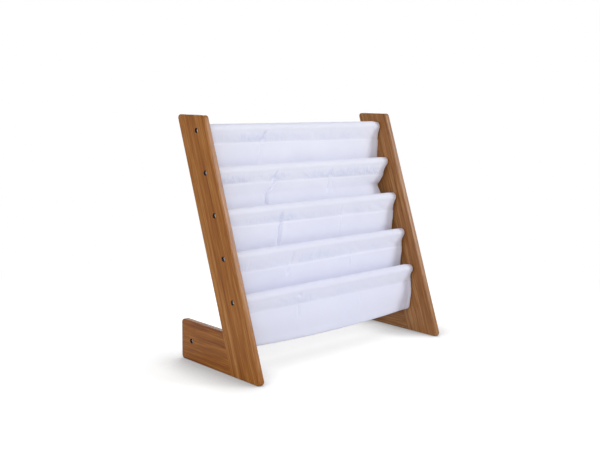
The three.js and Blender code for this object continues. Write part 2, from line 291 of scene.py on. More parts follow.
weave = {
    "size": (0.62, 2.0),  # metres in the UV map's unit square
    "thread": 0.00062,
    "tint": (240, 241, 254),
    "shade": (233, 235, 250),
    "toneStops": (0.3, 0.7),
    "toneShares": {"slubs": 0.25, "clouds": 0.75},
    "clouds": (9.0, 3.0),
    # changes in a metre across and along the strip, then as in grainLayers
    "slubs": ((40, 900, 1), 3.0),
    "pull": ((230, 14, 1), 3.0, 0.6),
    "folds": ((62, 36, 1), 2.0, 0.5, 1.6),
    "foldTurn": 28,  # degrees
    "paintedHollowShade": (204, 215, 247),  # a bluish painted shade in the hollows of the gathers
    "paintedHollowShadeShare": 0.38,
    "hollowStops": (0.40, 0.64),
    "hollowTones": (255, 150),
    "low": (229, 233, 255),  # towards the bottom of the shelf
    "lowShare": 0.5,
    "lowHeights": (0.12, 0.46),
    "surface": {"Roughness": 0.92, "Sheen Weight": 0.08, "Sheen Roughness": 0.5, "Specular IOR Level": 0.25},
    "reliefShares": {"threads": 0.12, "slubs": 0.25, "puckers": 0.6, "gathers": 15.0},
    "bump": (0.5, 0.0006),
}


def clothMaterial(name):
    material, tree, shader = newMaterial(name)
    uv = node(tree, "ShaderNodeUVMap", uv_map="cut").outputs["UV"]
    metres = stretched(tree, uv, (*weave["size"], 1))
    threadPlace = splitPlace(tree, metres)
    radiansPerMetre = math.pi / weave["thread"]
    warp, weft = (mathNode(tree, "SINE", times(tree, threadPlace[axis], radiansPerMetre)) for axis in "XY")
    slubs = layerNoise(tree, metres, weave["slubs"])
    clouds = noiseNode(tree, metres, *weave["clouds"])
    tone = weightedSum(tree, {"slubs": slubs, "clouds": clouds}, weave["toneShares"])
    colour = ramp(tree, tone, weave["toneStops"], (weave["shade"], weave["tint"]))
    lowness = ramp(tree, splitPlace(tree, objectPlace(tree))["Z"], weave["lowHeights"], greys((255, 0)))
    colour = mixColours(tree, times(tree, lowness, weave["lowShare"]), colour, weave["low"])
    pull = layerNoise(tree, metres, weave["pull"])
    near = node(tree, "ShaderNodeAttribute", attribute_name="pucker").outputs["Fac"]
    gathered = node(tree, "ShaderNodeAttribute", attribute_name="gather").outputs["Fac"]
    folds = layerNoise(tree, metres, weave["folds"], (0, 0, math.radians(weave["foldTurn"])))
    # the hollows of the gathers take a bluish painted shade in the cloth's colour
    hollows = ramp(tree, folds, weave["hollowStops"], greys(weave["hollowTones"]))
    hollowShadeAmount = times(tree, times(tree, hollows, gathered), weave["paintedHollowShadeShare"])
    tree.links.new(mixColours(tree, hollowShadeAmount, colour, weave["paintedHollowShade"]), shader.inputs["Base Color"])
    setInputs(shader, weave["surface"])
    bumps = {"threads": times(tree, warp, weft), "slubs": slubs, "puckers": times(tree, pull, near),
             "gathers": times(tree, folds, gathered)}
    bump(tree, shader, weightedSum(tree, bumps, weave["reliefShares"]), *weave["bump"])
    return material


# finishes with one grain: its changes in a metre along X, Y and Z, and its detail
plainWood = {
    "stops": (0.35, 0.68), "grain": ((220, 10, 220), 4.0), "roughness": 0.75, "grainRoughness": 0,
    "metallic": 0, "bump": (0.2, 0.0004),
}
metal = {"stops": (0.3, 0.7), "grainRoughness": 0.15, "metallic": 1, "bump": (0.08, 0.0002)}
finishes = {
    # near-black painted shade for the walls of the bores
    "paintedBoreShade": {**plainWood, "shades": ((8, 4, 2), (16, 12, 10))},
    "pinBeech": {**plainWood, "shades": ((189, 156, 108), (213, 180, 132))},
    "zincSteel": {
        **metal, "shades": ((192, 191, 192), (228, 227, 228)), "grain": ((900, 900, 900), 3.0),
        "roughness": 0.42,
    },
    "turnedBrass": {
        **metal, "shades": ((159, 132, 69), (195, 168, 105)), "grain": ((2400, 90, 90), 3.0),
        "roughness": 0.35,
    },
    "whiteThread": {
        "shades": ((205, 208, 224), (236, 238, 246)), "stops": (0.3, 0.7), "grain": ((2600, 900, 900), 2.0),
        "roughness": 0.7, "grainRoughness": 0, "metallic": 0, "bump": (0.3, 0.0002),
    },
}


def grainedMaterial(name):
    look = finishes[name]
    material, tree, shader = newMaterial(name)
    grain = layerNoise(tree, objectPlace(tree), look["grain"])
    tree.links.new(ramp(tree, grain, look["stops"], look["shades"]), shader.inputs["Base Color"])
    setInputs(shader, {"Roughness": look["roughness"], "Metallic": look["metallic"]})
    if look["grainRoughness"]:
        rough = plus(tree, times(tree, grain, look["grainRoughness"]), look["roughness"])
        tree.links.new(rough, shader.inputs["Roughness"])
    bump(tree, shader, grain, *look["bump"])
    return material


uprightWood = {"left": woodMaterial("leftUprightWood", "Z", 1, "left", leanAngle),
               "right": woodMaterial("rightUprightWood", "Z", 4, "right", leanAngle)}
footWood = {"left": woodMaterial("leftFootWood", "Y", 2),
            "right": woodMaterial("rightFootWood", "Y", 5, "right")}
railWood = woodMaterial("railWood", "X", 3)
whiteCloth = clothMaterial("whiteCloth")
paintedBoreShade, pinBeech, zincSteel, turnedBrass, whiteThread = map(grainedMaterial, finishes)
print("materials made")

# Helpers for meshes


def meshOf(name, bm):
    mesh = bpy.data.meshes.new(name)
    bm.to_mesh(mesh)
    bm.free()
    return mesh


def newPiece(name, mesh, materials):
    mesh.materials.clear()
    for material in materials:
        mesh.materials.append(material)
    obj = linkedObject(name, mesh)
    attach(obj, "root")
    return obj


def finishedMesh(obj, name):
    graph = bpy.context.evaluated_depsgraph_get()
    mesh = bpy.data.meshes.new_from_object(obj.evaluated_get(graph), depsgraph=graph)
    mesh.name = name
    return mesh


def scratchObject(name, bm):
    return linkedObject(name, meshOf(name, bm))


def dropObjects(*objects):
    for obj in objects:
        mesh = obj.data
        bpy.data.objects.remove(obj)
        bpy.data.meshes.remove(mesh)


def turnedBody(profile, steps):
    bm = bmesh.new()
    points = [bm.verts.new((along, radius, 0)) for along, radius in profile]
    edges = [bm.edges.new(pair) for pair in zip(points, points[1:])]
    bmesh.ops.spin(bm, geom=points + edges, cent=(0, 0, 0), axis=(1, 0, 0), dvec=(0, 0, 0),
                   angle=2 * math.pi, steps=steps, use_merge=True, use_normal_flip=False, use_duplicate=False)
    bmesh.ops.remove_doubles(bm, verts=bm.verts, dist=tolerance["same"])
    bmesh.ops.recalc_face_normals(bm, faces=bm.faces)
    return bm


def cutWith(obj, cutters, name):
    for cutter in cutters:
        step = obj.modifiers.new("cut", "BOOLEAN")
        step.operation = "DIFFERENCE"
        step.solver = "EXACT"
        step.object = cutter
    mesh = finishedMesh(obj, name)
    dropObjects(obj, *cutters)
    return mesh


def evenNormals(mesh, angle):
    mesh.shade_smooth()
    mesh.set_sharp_from_angle(angle=math.radians(angle))


# Side boards

board = {
    "cornerRadius": 0.009,
    "edgeRadius": 0.0025,
    "cornerSteps": 10,
    "edgeSteps": 4,
    "jointGap": 0.0003,
    "sharpAngle": 32,  # degrees, here and below
}
boltHole = {
    "seatWall": 0.0072,  # wood left under a bolt head
    "headRadius": 0.006,
    "shankRadius": 0.0033,
    "mouth": 0.0004,
    "overrun": 0.002,
    "steps": 48,
}


def roundEdges(bm, edges, radius, steps):
    bmesh.ops.bevel(bm, geom=edges, offset=radius, offset_type="OFFSET", segments=steps, profile=0.5,
                    affect="EDGES", material=-1)


def sideBlank(centre):
    half = shelf["boardThickness"] / 2
    lean, top, foot = shelf["lean"], shelf["height"], shelf["footHeight"]
    back = shelf["footReach"]
    joint = shelf["uprightWidth"] * slant
    inner = (joint + lean * foot, foot)       # where the foot's top meets the upright, and stays sharp
    corners = [(0, 0), (back, 0), (back, foot), inner, (joint + lean * top, top), (lean * top, top)]
    bm = bmesh.new()
    face = bm.faces.new([bm.verts.new((centre - half, frontCorner + y, z)) for y, z in corners])
    grown = bmesh.ops.extrude_face_region(bm, geom=[face])["geom"]
    bmesh.ops.translate(bm, verts=[g for g in grown if isinstance(g, bmesh.types.BMVert)],
                        vec=(2 * half, 0, 0))
    same = tolerance["same"]
    for index, (y, z) in enumerate(corners):
        if (y, z) == inner:
            continue
        before = Vector(corners[index - 1]) - Vector((y, z))
        after = Vector(corners[(index + 1) % len(corners)]) - Vector((y, z))
        reach = board["cornerRadius"] / math.tan(before.angle(after) / 2)
        standing = [e for e in bm.edges if all(
            abs(v.co.y - frontCorner - y) < same and abs(v.co.z - z) < same for v in e.verts)]
        roundEdges(bm, standing, reach, board["cornerSteps"])
    rims = [e for e in bm.edges if abs(e.verts[0].co.x - e.verts[1].co.x) < same]
    roundEdges(bm, rims, board["edgeRadius"], board["edgeSteps"])
    bmesh.ops.recalc_face_normals(bm, faces=bm.faces)
    return bm


def holeCutter(side, axis):
    face = shelf["boardThickness"] / 2
    seat = boltHole["seatWall"] - face
    past = boltHole["overrun"]
    mouth = boltHole["headRadius"] + boltHole["mouth"]
    bm = turnedBody([
        (-face - past, 0), (-face - past, boltHole["shankRadius"]), (seat, boltHole["shankRadius"]),
        (seat, boltHole["headRadius"]), (face - boltHole["mouth"], boltHole["headRadius"]),
        (face, mouth), (face + past, mouth), (face + past, 0),
    ], boltHole["steps"])
    if side < 0:
        bmesh.ops.rotate(bm, verts=bm.verts, matrix=Matrix.Rotation(math.pi, 3, "Z"))
    bmesh.ops.translate(bm, verts=bm.verts, vec=(side * (shelf["width"] / 2 - face), axis.y, axis.z))
    return scratchObject("cutter", bm)


def buildBoards(side, label):
    centre = side * (shelf["width"] - shelf["boardThickness"]) / 2
    joint = Vector((centre, frontCorner + shelf["uprightWidth"] * slant, 0))
    squareToJoint = Vector((0, math.cos(leanAngle), -math.sin(leanAngle)))
    for part, sign, wood in (("upright", 1, uprightWood[label]), ("foot", -1, footWood[label])):
        bm = sideBlank(centre)
        cut = bmesh.ops.bisect_plane(
            bm, geom=bm.verts[:] + bm.edges[:] + bm.faces[:], dist=tolerance["cut"],
            plane_co=joint - sign * squareToJoint * board["jointGap"] / 2, plane_no=squareToJoint * sign,
            clear_outer=True)
        rim = [g for g in cut["geom_cut"] if isinstance(g, bmesh.types.BMEdge)]
        bmesh.ops.holes_fill(bm, edges=rim, sides=0)
        bmesh.ops.recalc_face_normals(bm, faces=bm.faces)
        body = scratchObject("blank", bm)
        names = [f"rail_{n}" for n in railNumbers] if part == "upright" else ["rear_rail"]
        axes = [railAxes[name] for name in names]
        mesh = cutWith(body, [holeCutter(side, axis) for axis in axes], f"{label}_{part}_board")
        obj = newPiece(f"{label}_{part}_board", mesh, [wood, paintedBoreShade])
        markBores(mesh, axes, centre)
        evenNormals(mesh, board["sharpAngle"])
        weighted = obj.modifiers.new("even", "WEIGHTED_NORMAL")
        weighted.keep_sharp = True
        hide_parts(f"{label}_{part}")


# the walls of the bores take the board's second material, a near-black painted shade
def markBores(mesh, axes, centre):
    half = shelf["boardThickness"] / 2 - tolerance["inside"]
    bore = boltHole["headRadius"] - tolerance["inside"]
    for polygon in mesh.polygons:
        x, y, z = polygon.center
        inside = any(math.hypot(y - axis.y, z - axis.z) < bore for axis in axes)
        polygon.material_index = int(inside and abs(x - centre) < half)


buildBoards(-1, "left")
buildBoards(1, "right")
print("side boards built")

# Crossrails and their fixings

rail = {
    "endGap": 0.0003,
    "chamfer": 0.0009,
    "insertRadius": 0.0053,
    "insertDepth": 0.0158,
    "tipRadius": 0.0033,
    "tipDepth": 0.0268,
    "steps": 64,
    "sharpAngle": 30,
}
bolt = {
    "radius": 0.003,
    "length": 0.031,
    "tip": 0.001,
    "headRadius": 0.005,
    "headHeight": 0.004,
    "headEdge": 0.0008,
    "headEdgeShare": 0.3,
    "socket": 0.005,  # across the flats
    "socketDepth": 0.0025,
    "socketOverrun": 0.002,
    "seatGap": 0.0003,
    "steps": 48,
    "sharpAngle": 30,
}


def buildRail(name, cadNode, axis):
    end = innerWidth / 2 - rail["endGap"]
    radius = shelf["railRadius"]
    half = [
        (end - rail["tipDepth"], 0), (end - rail["tipDepth"], rail["tipRadius"]),
        (end - rail["insertDepth"], rail["tipRadius"]), (end - rail["insertDepth"], rail["insertRadius"]),
        (end, rail["insertRadius"]), (end, radius - rail["chamfer"]), (end - rail["chamfer"], radius),
    ]
    profile = half + [(-along, r) for along, r in reversed(half)]
    bm = turnedBody(profile, rail["steps"])
    bmesh.ops.translate(bm, verts=bm.verts, vec=axis)
    obj = newPiece(name, meshOf(name, bm), [railWood])
    evenNormals(obj.data, rail["sharpAngle"])
    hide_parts(cadNode)


def boltMesh():
    radius, head, length = bolt["radius"], bolt["headRadius"], bolt["length"]
    rounded = bolt["headEdgeShare"] * bolt["headEdge"]
    bm = turnedBody([
        (-length, 0), (-length, radius - bolt["tip"]), (-length + bolt["tip"], radius), (0, radius),
        (0, head), (bolt["headHeight"] - bolt["headEdge"], head),
        (bolt["headHeight"] - rounded, head - rounded),
        (bolt["headHeight"], head - bolt["headEdge"]), (bolt["headHeight"], 0),
    ], bolt["steps"])
    body = scratchObject("bolt", bm)
    key = bmesh.new()
    across = bolt["socket"] / math.sqrt(3)
    depth = bolt["socketDepth"] + bolt["socketOverrun"]
    middle = bolt["headHeight"] - bolt["socketDepth"] + depth / 2
    bmesh.ops.create_cone(key, cap_ends=True, segments=6, radius1=across, radius2=across, depth=depth)
    bmesh.ops.rotate(key, verts=key.verts, matrix=Matrix.Rotation(math.pi / 2, 3, "Y"))
    bmesh.ops.translate(key, verts=key.verts, vec=(middle, 0, 0))
    return cutWith(body, [scratchObject("key", key)], "bolt")


def buildBolts():
    master = boltMesh()
    seat = innerWidth / 2 + boltHole["seatWall"] + bolt["seatGap"]
    for side, label in ((-1, "left"), (1, "right")):
        turn = Matrix.Rotation(math.pi if side < 0 else 0, 4, "Z")
        for name, axis in railAxes.items():
            mesh = master.copy()
            mesh.transform(Matrix.Translation(axis) @ turn @ Matrix.Translation((seat, 0, 0)))
            obj = newPiece(f"{label}_{name}_screw", mesh, [zincSteel])
            evenNormals(mesh, bolt["sharpAngle"])
            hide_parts(f"{label}_{name}_bolt")
    bpy.data.meshes.remove(master)


# the inserts and joint pins stay the frame's own nodes, inside the wood
def finishHiddenPieces():
    for name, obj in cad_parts.items():
        for word, material in (("insert", turnedBrass), ("joint_pin", pinBeech)):
            if word in name:
                obj.data.materials.clear()
                obj.data.materials.append(material)


for number in railNumbers:
    buildRail(f"sling_dowel_{number}", f"sling_rail_{number}", railAxes[f"rail_{number}"])
buildRail("rear_dowel", "rear_rail", railAxes["rear_rail"])
buildBolts()
finishHiddenPieces()
print("crossrails and fixings built")

# Cloth sling: one strip, from the first rail's stitch line down to the last one's

sling = {
    "halfWidth": 0.3043,
    "thickness": 0.0008,
    "layer": 0.0006,  # each layer of a stitched band from its middle
    "railGap": 0.0002,
    "seamDrop": 0.0335,
    "seamHeight": 0.004,
    "seamForward": 0.0035,
    "seamLift": ((0.0045, 0.0015), (0.0060, 0.0010), (0.0050, 0), (-0.0030, 0), (0.0030, 0.0015)),
    "sleeveRadius": 0.0119,
    "sleeveEase": 0.0003,
    "sleevePuff": (0.0022, 0.0004, 0.0008, 0.0003, 0.0019),
    "sleevePull": 0.0015,
    "sleevePullStart": (0.6, 1),
    "pullPower": 1.5,
    "inwardPower": 3,  # pulled in most at the side edges
    "flatShares": (0.93, 1.0),  # ease and puff end there, towards the side edges
    "foldDrop": 0.1145,
    "foldPower": 0.68,  # 1 folds round, less folds squarer
    "sag": 0.011,
    "hemWidth": 0.007,
    "hemFold": 0.0011,
    # past the side edge, and how far folded over
    "hemTurn": ((0.0004, 0.25), (0.0004, 0.75), (-0.0004, 1.0), (-0.0035, 1.0)),
    "tail": 0.0035,  # free edge under the last stitch line
    "tailForward": 0.0006,
    "frontBow": 0.0015,
    "frontShares": (0, 0.25),
    "sharpAngle": 75,
}
# how a panel hangs under its stitch line, from the top one down
panels = [dict(zip(("ledge", "belly", "back", "pull", "slopePull", "footPull"), row)) for row in (
    (0.0012, 0.0020, 0.0000, 0.0010, 0.001, 0.003),
    (0.0008, 0.0000, 0.0000, 0.0110, 0.002, 0.000),
    (0.0014, 0.0005, 0.0015, 0.0050, 0.003, 0.004),
    (0.0014, 0.0005, 0.0015, 0.0030, 0.004, 0.004),
    (0.0012, 0.0030, 0.0000, 0.0000, 0.005, 0.000),
)]
# where those come in and fade, as shares of the way down a panel; the first two are metres
hang = {
    "height": 0.110,
    "ledgeDrop": 0.003,
    "ledgeEnd": (0.3, 1),
    "bellyPower": 1.3,
    "backStart": (0.3, 0.95),
    "backEnd": (0.95, 1.0),
    "pullEnd": (0.5, 1),
    "footPullStart": (0.1, 0.4),
    "footPullEnd": (0.6, 1),
}
# one panel has a fold right across it, deeper to the right, and stays back for a while under it
acrossFold = {
    "panel": 2,
    "drop": 0.027,
    "middleDepth": 0.003,
    "deeperRight": 0.011,
    "rightPower": 4,
    "power": 1.1,
    "pull": 0.004,
    "heldPull": 0.0045,
    "heldShare": 0.25,
    "heldStart": (0.8, 1.3),
    "heldEnd": (2.4, 4.5),
}
# packing creases, narrow valleys with one steep side: panel, X at top and foot, heights from the
# rail at top and foot, width, depth, and the steep side (1 right, -1 left)
creases = {
    "left": [
        (1, -0.118, -0.121, -0.008, -0.032, 0.011, 0.0056, 1),
        (1, -0.130, -0.138, -0.034, -0.085, 0.014, 0.0038, -1),
        (2, -0.109, -0.118, -0.008, -0.034, 0.010, 0.0036, 1),
        (2, -0.109, -0.138, -0.034, -0.062, 0.012, 0.0050, 1),
        (2, -0.138, -0.141, -0.060, -0.098, 0.012, 0.0042, 1),
        (3, -0.118, -0.118, -0.008, -0.034, 0.011, 0.0052, 1),
        (3, -0.122, -0.131, -0.034, -0.094, 0.014, 0.0068, 1),
        (4, -0.114, -0.120, -0.008, -0.036, 0.011, 0.0030, -1),
        (4, -0.124, -0.130, -0.038, -0.062, 0.011, 0.0034, 1),
        (5, -0.118, -0.120, -0.006, -0.014, 0.012, 0.0030, 1),
        (5, -0.122, -0.124, -0.038, -0.064, 0.011, 0.0020, -1),
    ],
    "right": [
        (2, 0.086, 0.084, -0.008, -0.026, 0.010, 0.0022, 1),
        (2, 0.084, 0.074, -0.028, -0.070, 0.010, 0.0034, 1),
        (3, 0.089, 0.087, -0.012, -0.085, 0.010, 0.0014, 1),
        (4, 0.094, 0.094, -0.034, -0.070, 0.011, 0.0032, 1),
        (5, 0.098, 0.098, -0.038, -0.080, 0.012, 0.0013, -1),
    ],
    "other": [
        (1, 0.055, 0.055, -0.012, -0.030, 0.012, 0.0020, 1),
        (2, 0.086, 0.101, -0.030, -0.070, 0.011, 0.0020, 1),
        (2, 0.150, 0.150, -0.010, -0.024, 0.012, 0.0018, 1),
    ],
}
# a crease's section: spans of its width, and the height of its crest
valleyShape = {"fall": (-1.0, 0.05), "climb": (-0.05, 0.42), "crest": (0.15, 0.5), "crestEnd": (0.5, 1.5),
               "crestHeight": 0.14}
creaseLook = {
    "overrun": 0.01,
    "waver": (90, 38, 3.1),
    "waverWidth": 0.0022,
    "waverDepth": 0.5,
    "start": (-0.2, 0.2),
    "end": (0.7, 1.15),
}
# soft waves: height, changes in a metre across, slanting and down, and a step between panels
waves = {
    "slope": (0.0009, 40, 60, 18, 3.7),
    "broad": (0.0009, 9, 0, 15, 2.3),
    "small": (0.0003, 34, 20, 30, 4.9),
}
waveGrowth = {"slope": (0.1, 0.7), "frontBand": 0.6}
sleeveWave = {"reach": 0.295, "height": 0.0005, "across": 30, "round": 2, "step": 6.1, "shown": (0.45, 0.9)}
# gathers above a stitch line: height, and how far right they reach, as a share of the half width
gathers = [(1.0, 0.5), (1.0, 0.9), (0.9, 0.3), (0.55, 0.4), (0.45, 0.1)]
gatherPatches = {"across": 13, "step": 9.7, "span": (-0.25, 0.3), "least": 0.25, "fade": 0.8,
                 "fadeSpan": (-0.2, 0.3), "slope": (0, 0.55), "frontBand": 0.7}
puckers = {"slope": (0.1, 1), "rearWall": (0, 0.14), "frontWall": (0.7, 1)}
rows = {"band": 2, "frontBand": 2, "climb": 5, "over": 12, "slope": 9, "seen": 17, "hidden": 9, "fold": 10,
        "rise": 6, "lastRise": 21, "seenShare": 0.36, "seenPower": 1.35, "risePower": 1.25}
columns = {"coarse": 0.0066, "middling": 0.0017, "fine": 0.0008, "fineReach": 0.005, "middlingReach": 0.016,
           "left": -0.1225, "right": 0.088, "follow": (0.016, 0.09)}


def rise(span, value):
    low, high = span
    t = min(max((value - low) / (high - low), 0), 1)
    return t * t * (3 - 2 * t)


def fall(span, value):
    return 1 - rise(span, value)


def columnPlaces():
    half = sling["halfWidth"]
    places = [-half]
    while places[-1] < half - tolerance["same"]:
        away = min(abs(places[-1] - columns["left"]), abs(places[-1] - columns["right"]))
        grade = "coarse"
        if away < columns["middlingReach"]:
            grade = "fine" if away < columns["fineReach"] else "middling"
        places.append(places[-1] + columns[grade])
    shrink = 2 * half / (places[-1] - places[0])
    flat = [(-half + (x + half) * shrink, 0.0) for x in places]
    right = [(half + past, fold) for past, fold in sling["hemTurn"]] + [(half - sling["hemWidth"], 1.0)]
    left = [(-x, fold) for x, fold in reversed(right)]
    return left + flat + right


def stationList():
    stations = []
    for number in railNumbers:
        for part in ("band", "climb", "over", "slope", "frontBand"):
            stations += [(part, number, i / rows[part]) for i in range(rows[part])]
        if number == lastRail:
            stations += [("tail", number, t) for t in (0.0, 0.5, 1.0)]
            continue
        share, seen, hidden = rows["seenShare"], rows["seen"], rows["hidden"]
        stations += [("rearWall", number, share * (i / seen) ** rows["seenPower"]) for i in range(seen)]
        stations += [("rearWall", number, share + (1 - share) * i / hidden) for i in range(hidden)]
        stations += [("fold", number, i / rows["fold"]) for i in range(rows["fold"])]
        count = rows["rise" if number < lastPocket else "lastRise"]
        stations += [("frontWall", number, 1 - (1 - i / count) ** rows["risePower"]) for i in range(count)]
    return stations


def tangentAngle(y, z, radius, side):
    return math.atan2(z, y) + side * math.acos(radius / math.hypot(y, z))


def seamShift(number, share):
    left, right = sling["seamLift"][number - 1]
    return left + (right - left) * (share + 1) / 2


def panelPlace(panel, depth, length, share):
    shape = panels[panel - 1]
    down = depth / length
    ledge = -shape["ledge"] * rise((0, hang["ledgeDrop"]), depth) * fall(hang["ledgeEnd"], down)
    belly = -shape["belly"] * math.sin(math.pi * min(down, 1)) ** hang["bellyPower"]
    back = shape["back"] * rise(hang["backStart"], down) * fall(hang["backEnd"], down)
    inward = shape["pull"] * fall(hang["pullEnd"], down)
    inward += shape["footPull"] * rise(hang["footPullStart"], down) * fall(hang["footPullEnd"], down)
    if panel == acrossFold["panel"]:
        look = acrossFold
        at = depth / look["drop"]
        crease = max(0, 1 - abs(at - 1)) ** look["power"]
        held = rise(look["heldStart"], at) * fall(look["heldEnd"], at)
        deep = look["middleDepth"] + look["deeperRight"] * max(share, 0) ** look["rightPower"]
        back += deep * (crease + look["heldShare"] * held)
        inward += look["pull"] * crease + look["heldPull"] * held
    return ledge + belly + back, inward


def pathPoint(station, x):
    part, number, t = station
    axis = railAxes[f"rail_{number}"]
    share = x / sling["halfWidth"]
    if part in ("climb", "over", "slope"):
        y, z, inward = sleevePoint(part, number, t, share)
    elif part in ("rearWall", "fold", "frontWall"):
        y, z, inward = pocketPoint(part, number, t, share)
    else:
        y, z, inward = seamPoint(part, number, t, share)
    return Vector((0, axis.y + y, axis.z + z)), inward


def seamEnds(number, share):
    lift = seamShift(number, share)
    top = lift - sling["seamDrop"] + sling["seamHeight"] / 2
    foot = lift - sling["seamDrop"] - sling["seamHeight"] / 2
    return top, foot


def seamPoint(part, number, t, share):
    top, foot = seamEnds(number, share)
    seamY, layer, inward = -sling["seamForward"], sling["layer"], panels[number - 1]["pull"]
    if part == "band":
        return seamY + layer, foot + (top - foot) * t, inward
    if part == "frontBand":
        return seamY - layer, top + (foot - top) * t, inward
    return seamY - layer - sling["tailForward"] * t, foot - sling["tail"] * t, inward


def sleevePoint(part, number, t, share):
    shape = panels[number - 1]
    seamY, layer, power = -sling["seamForward"], sling["layer"], sling["pullPower"]
    top, _ = seamEnds(number, share)
    endEase = fall(sling["flatShares"], abs(share))
    radius = sling["sleeveRadius"] + sling["sleeveEase"] * endEase
    rear = tangentAngle(seamY + layer, top, radius, 1)
    front = tangentAngle(seamY - layer, top, radius, -1) + 2 * math.pi
    if part == "over":
        angle = rear + (front - rear) * t
        puff = sling["sleevePuff"][number - 1] * endEase * math.sin(math.pi * t) ** power
        inward = sling["sleevePull"] * rise(sling["sleevePullStart"], t)
        return (radius + puff) * math.cos(angle), (radius + puff) * math.sin(angle), inward
    if part == "climb":
        touchY, touchZ = radius * math.cos(rear), radius * math.sin(rear)
        inward = shape["pull"] * (1 - t) ** power
        return seamY + layer + (touchY - seamY - layer) * t, top + (touchZ - top) * t, inward
    touchY, touchZ = radius * math.cos(front), radius * math.sin(front)
    inward = sling["sleevePull"] * (1 - t) + shape["pull"] * t + shape["slopePull"] * math.sin(math.pi * t)
    return touchY + (seamY - layer - touchY) * t, touchZ + (top - touchZ) * t, inward


def pocketPoint(part, number, t, share):
    height, power = hang["height"], sling["foldPower"]
    seamFoot = -sling["seamDrop"] - sling["seamHeight"] / 2
    rearFoot = seamFoot + seamShift(number, share)
    frontFoot = seamFoot + seamShift(number + 1, share) - railPitch
    rearY = -sling["seamForward"] - sling["layer"]
    frontY = -shelf["lean"] * railPitch - sling["seamForward"] + sling["layer"]
    radius = (rearY - frontY) / 2
    sag = sling["sag"] * (1 - share * share)
    foldZ = -railPitch - sling["foldDrop"] + radius - sag
    if part == "rearWall":
        length = rearFoot - foldZ
        offset, inward = panelPlace(number, t * length, height, share)
        return rearY + offset, rearFoot - t * length, inward
    if part == "fold":
        angle = math.pi * t
        across = math.copysign(abs(math.cos(angle)) ** power, math.cos(angle))
        return (rearY + frontY) / 2 + radius * across, foldZ - radius * math.sin(angle) ** power, 0
    length = frontFoot - foldZ
    depth = length * (1 - t)
    offset, inward = panelPlace(number + 1, depth, length if number == lastPocket else height, share)
    if number < lastPocket:
        offset = offset * rise(sling["frontShares"], t) + sling["frontBow"] * math.sin(math.pi * t)
    return frontY + offset, foldZ + t * length, inward


def panelOf(station):
    part, number, _ = station
    return number + 1 if part == "frontWall" else number


# where a line of creases crosses each row; between creases it runs straight
def creaseCentres(line, stations, drops):
    known = []
    for r, (station, drop) in enumerate(zip(stations, drops)):
        if station[0] in ("climb", "band") or (station[0] == "frontWall" and station[1] < lastPocket):
            continue
        for where, topX, footX, start, stop, *_ in creases[line]:
            if where == panelOf(station) and stop <= drop <= start:
                known.append((r, topX + (footX - topX) * (start - drop) / (start - stop)))
                break
    centres = []
    for r in range(len(stations)):
        before = max((k for k in known if k[0] <= r), default=known[0])
        after = min((k for k in known if k[0] >= r), default=known[-1])
        share = (r - before[0]) / (after[0] - before[0]) if after[0] > before[0] else 0
        centres.append(before[1] + (after[1] - before[1]) * share)
    around = [centres[max(r - 1, 0):r + 2] for r in range(len(centres))]
    return [sum(near) / len(near) for near in around]


def valley(u):
    dip = rise(valleyShape["fall"], u) - rise(valleyShape["climb"], u)
    crest = rise(valleyShape["crest"], u) - rise(valleyShape["crestEnd"], u)
    return valleyShape["crestHeight"] * crest - dip


def wave(kind, x, drop, number, share=1):
    height, across, slanting, down, step = waves[kind]
    return height * share * noise.noise(Vector((x * across + drop * slanting, number * step, drop * down)))


def creaseRelief(panel, x, drop):
    out = 0.0
    overrun = creaseLook["overrun"]
    across, down, step = creaseLook["waver"]
    for where, topX, footX, start, stop, width, depth, steep in sum(creases.values(), []):
        if where != panel or not stop - overrun < drop < start + overrun:
            continue
        share = (start - drop) / (start - stop)
        waver = noise.noise(Vector((topX * across, drop * down, where * step)))
        centre = topX + (footX - topX) * share + creaseLook["waverWidth"] * waver
        fade = rise(creaseLook["start"], share) * fall(creaseLook["end"], share)
        fade *= 1 + creaseLook["waverDepth"] * waver
        out += depth * fade * valley(steep * (x - centre) / width)
    return out


def grown(look, part, t):
    return rise(look[part], t) if part == "slope" else look[part] * (1 - t)


def relief(station, x, drop):
    part, number, t = station
    panel = panelOf(station)
    shown = {"slope": 1, "over": rise(sleeveWave["shown"], t), "frontBand": 1, "rearWall": 1, "tail": 1,
             "frontWall": -1, "band": -1 if number > 1 else 0}.get(part, 0)
    if shown == 0:
        return 0.0
    out = creaseRelief(panel, x, drop)
    if part in ("slope", "frontBand"):
        out += wave("slope", x, drop, number, grown(waveGrowth, part, t))
    if part in ("rearWall", "frontWall"):
        out += wave("broad", x, drop, panel) + wave("small", x, drop, panel)
    if part == "over" and abs(x) < sleeveWave["reach"]:
        place = Vector((x * sleeveWave["across"], number * sleeveWave["step"], t * sleeveWave["round"]))
        out += sleeveWave["height"] * (1 + noise.noise(place))
    return out * shown


def gatherShare(station, x):
    part, number, t = station
    if part not in ("slope", "frontBand"):
        return 0.0
    height, reach = gathers[number - 1]
    look = gatherPatches
    patch = rise(look["span"], noise.noise(Vector((x * look["across"], number * look["step"], 0))))
    before, past = look["fadeSpan"]
    away = rise((reach + before, reach + past), x / sling["halfWidth"])
    patch = look["least"] + (1 - look["least"]) * patch
    return height * grown(look, part, t) * patch * (1 - look["fade"] * away)


def puckerShare(station):
    part, number, t = station
    if part in ("band", "frontBand"):
        return 1
    if part == "rearWall":
        return fall(puckers[part], t)
    if part == "slope" or (part == "frontWall" and number == lastPocket):
        return rise(puckers[part], t)
    return 0


def offTheRail(place, axis):
    least = shelf["railRadius"] + sling["thickness"] / 2 + sling["railGap"]
    away = math.hypot(place.y - axis.y, place.z - axis.z)
    if away >= least:
        return place
    return Vector((0, axis.y + (place.y - axis.y) * least / away, axis.z + (place.z - axis.z) * least / away))


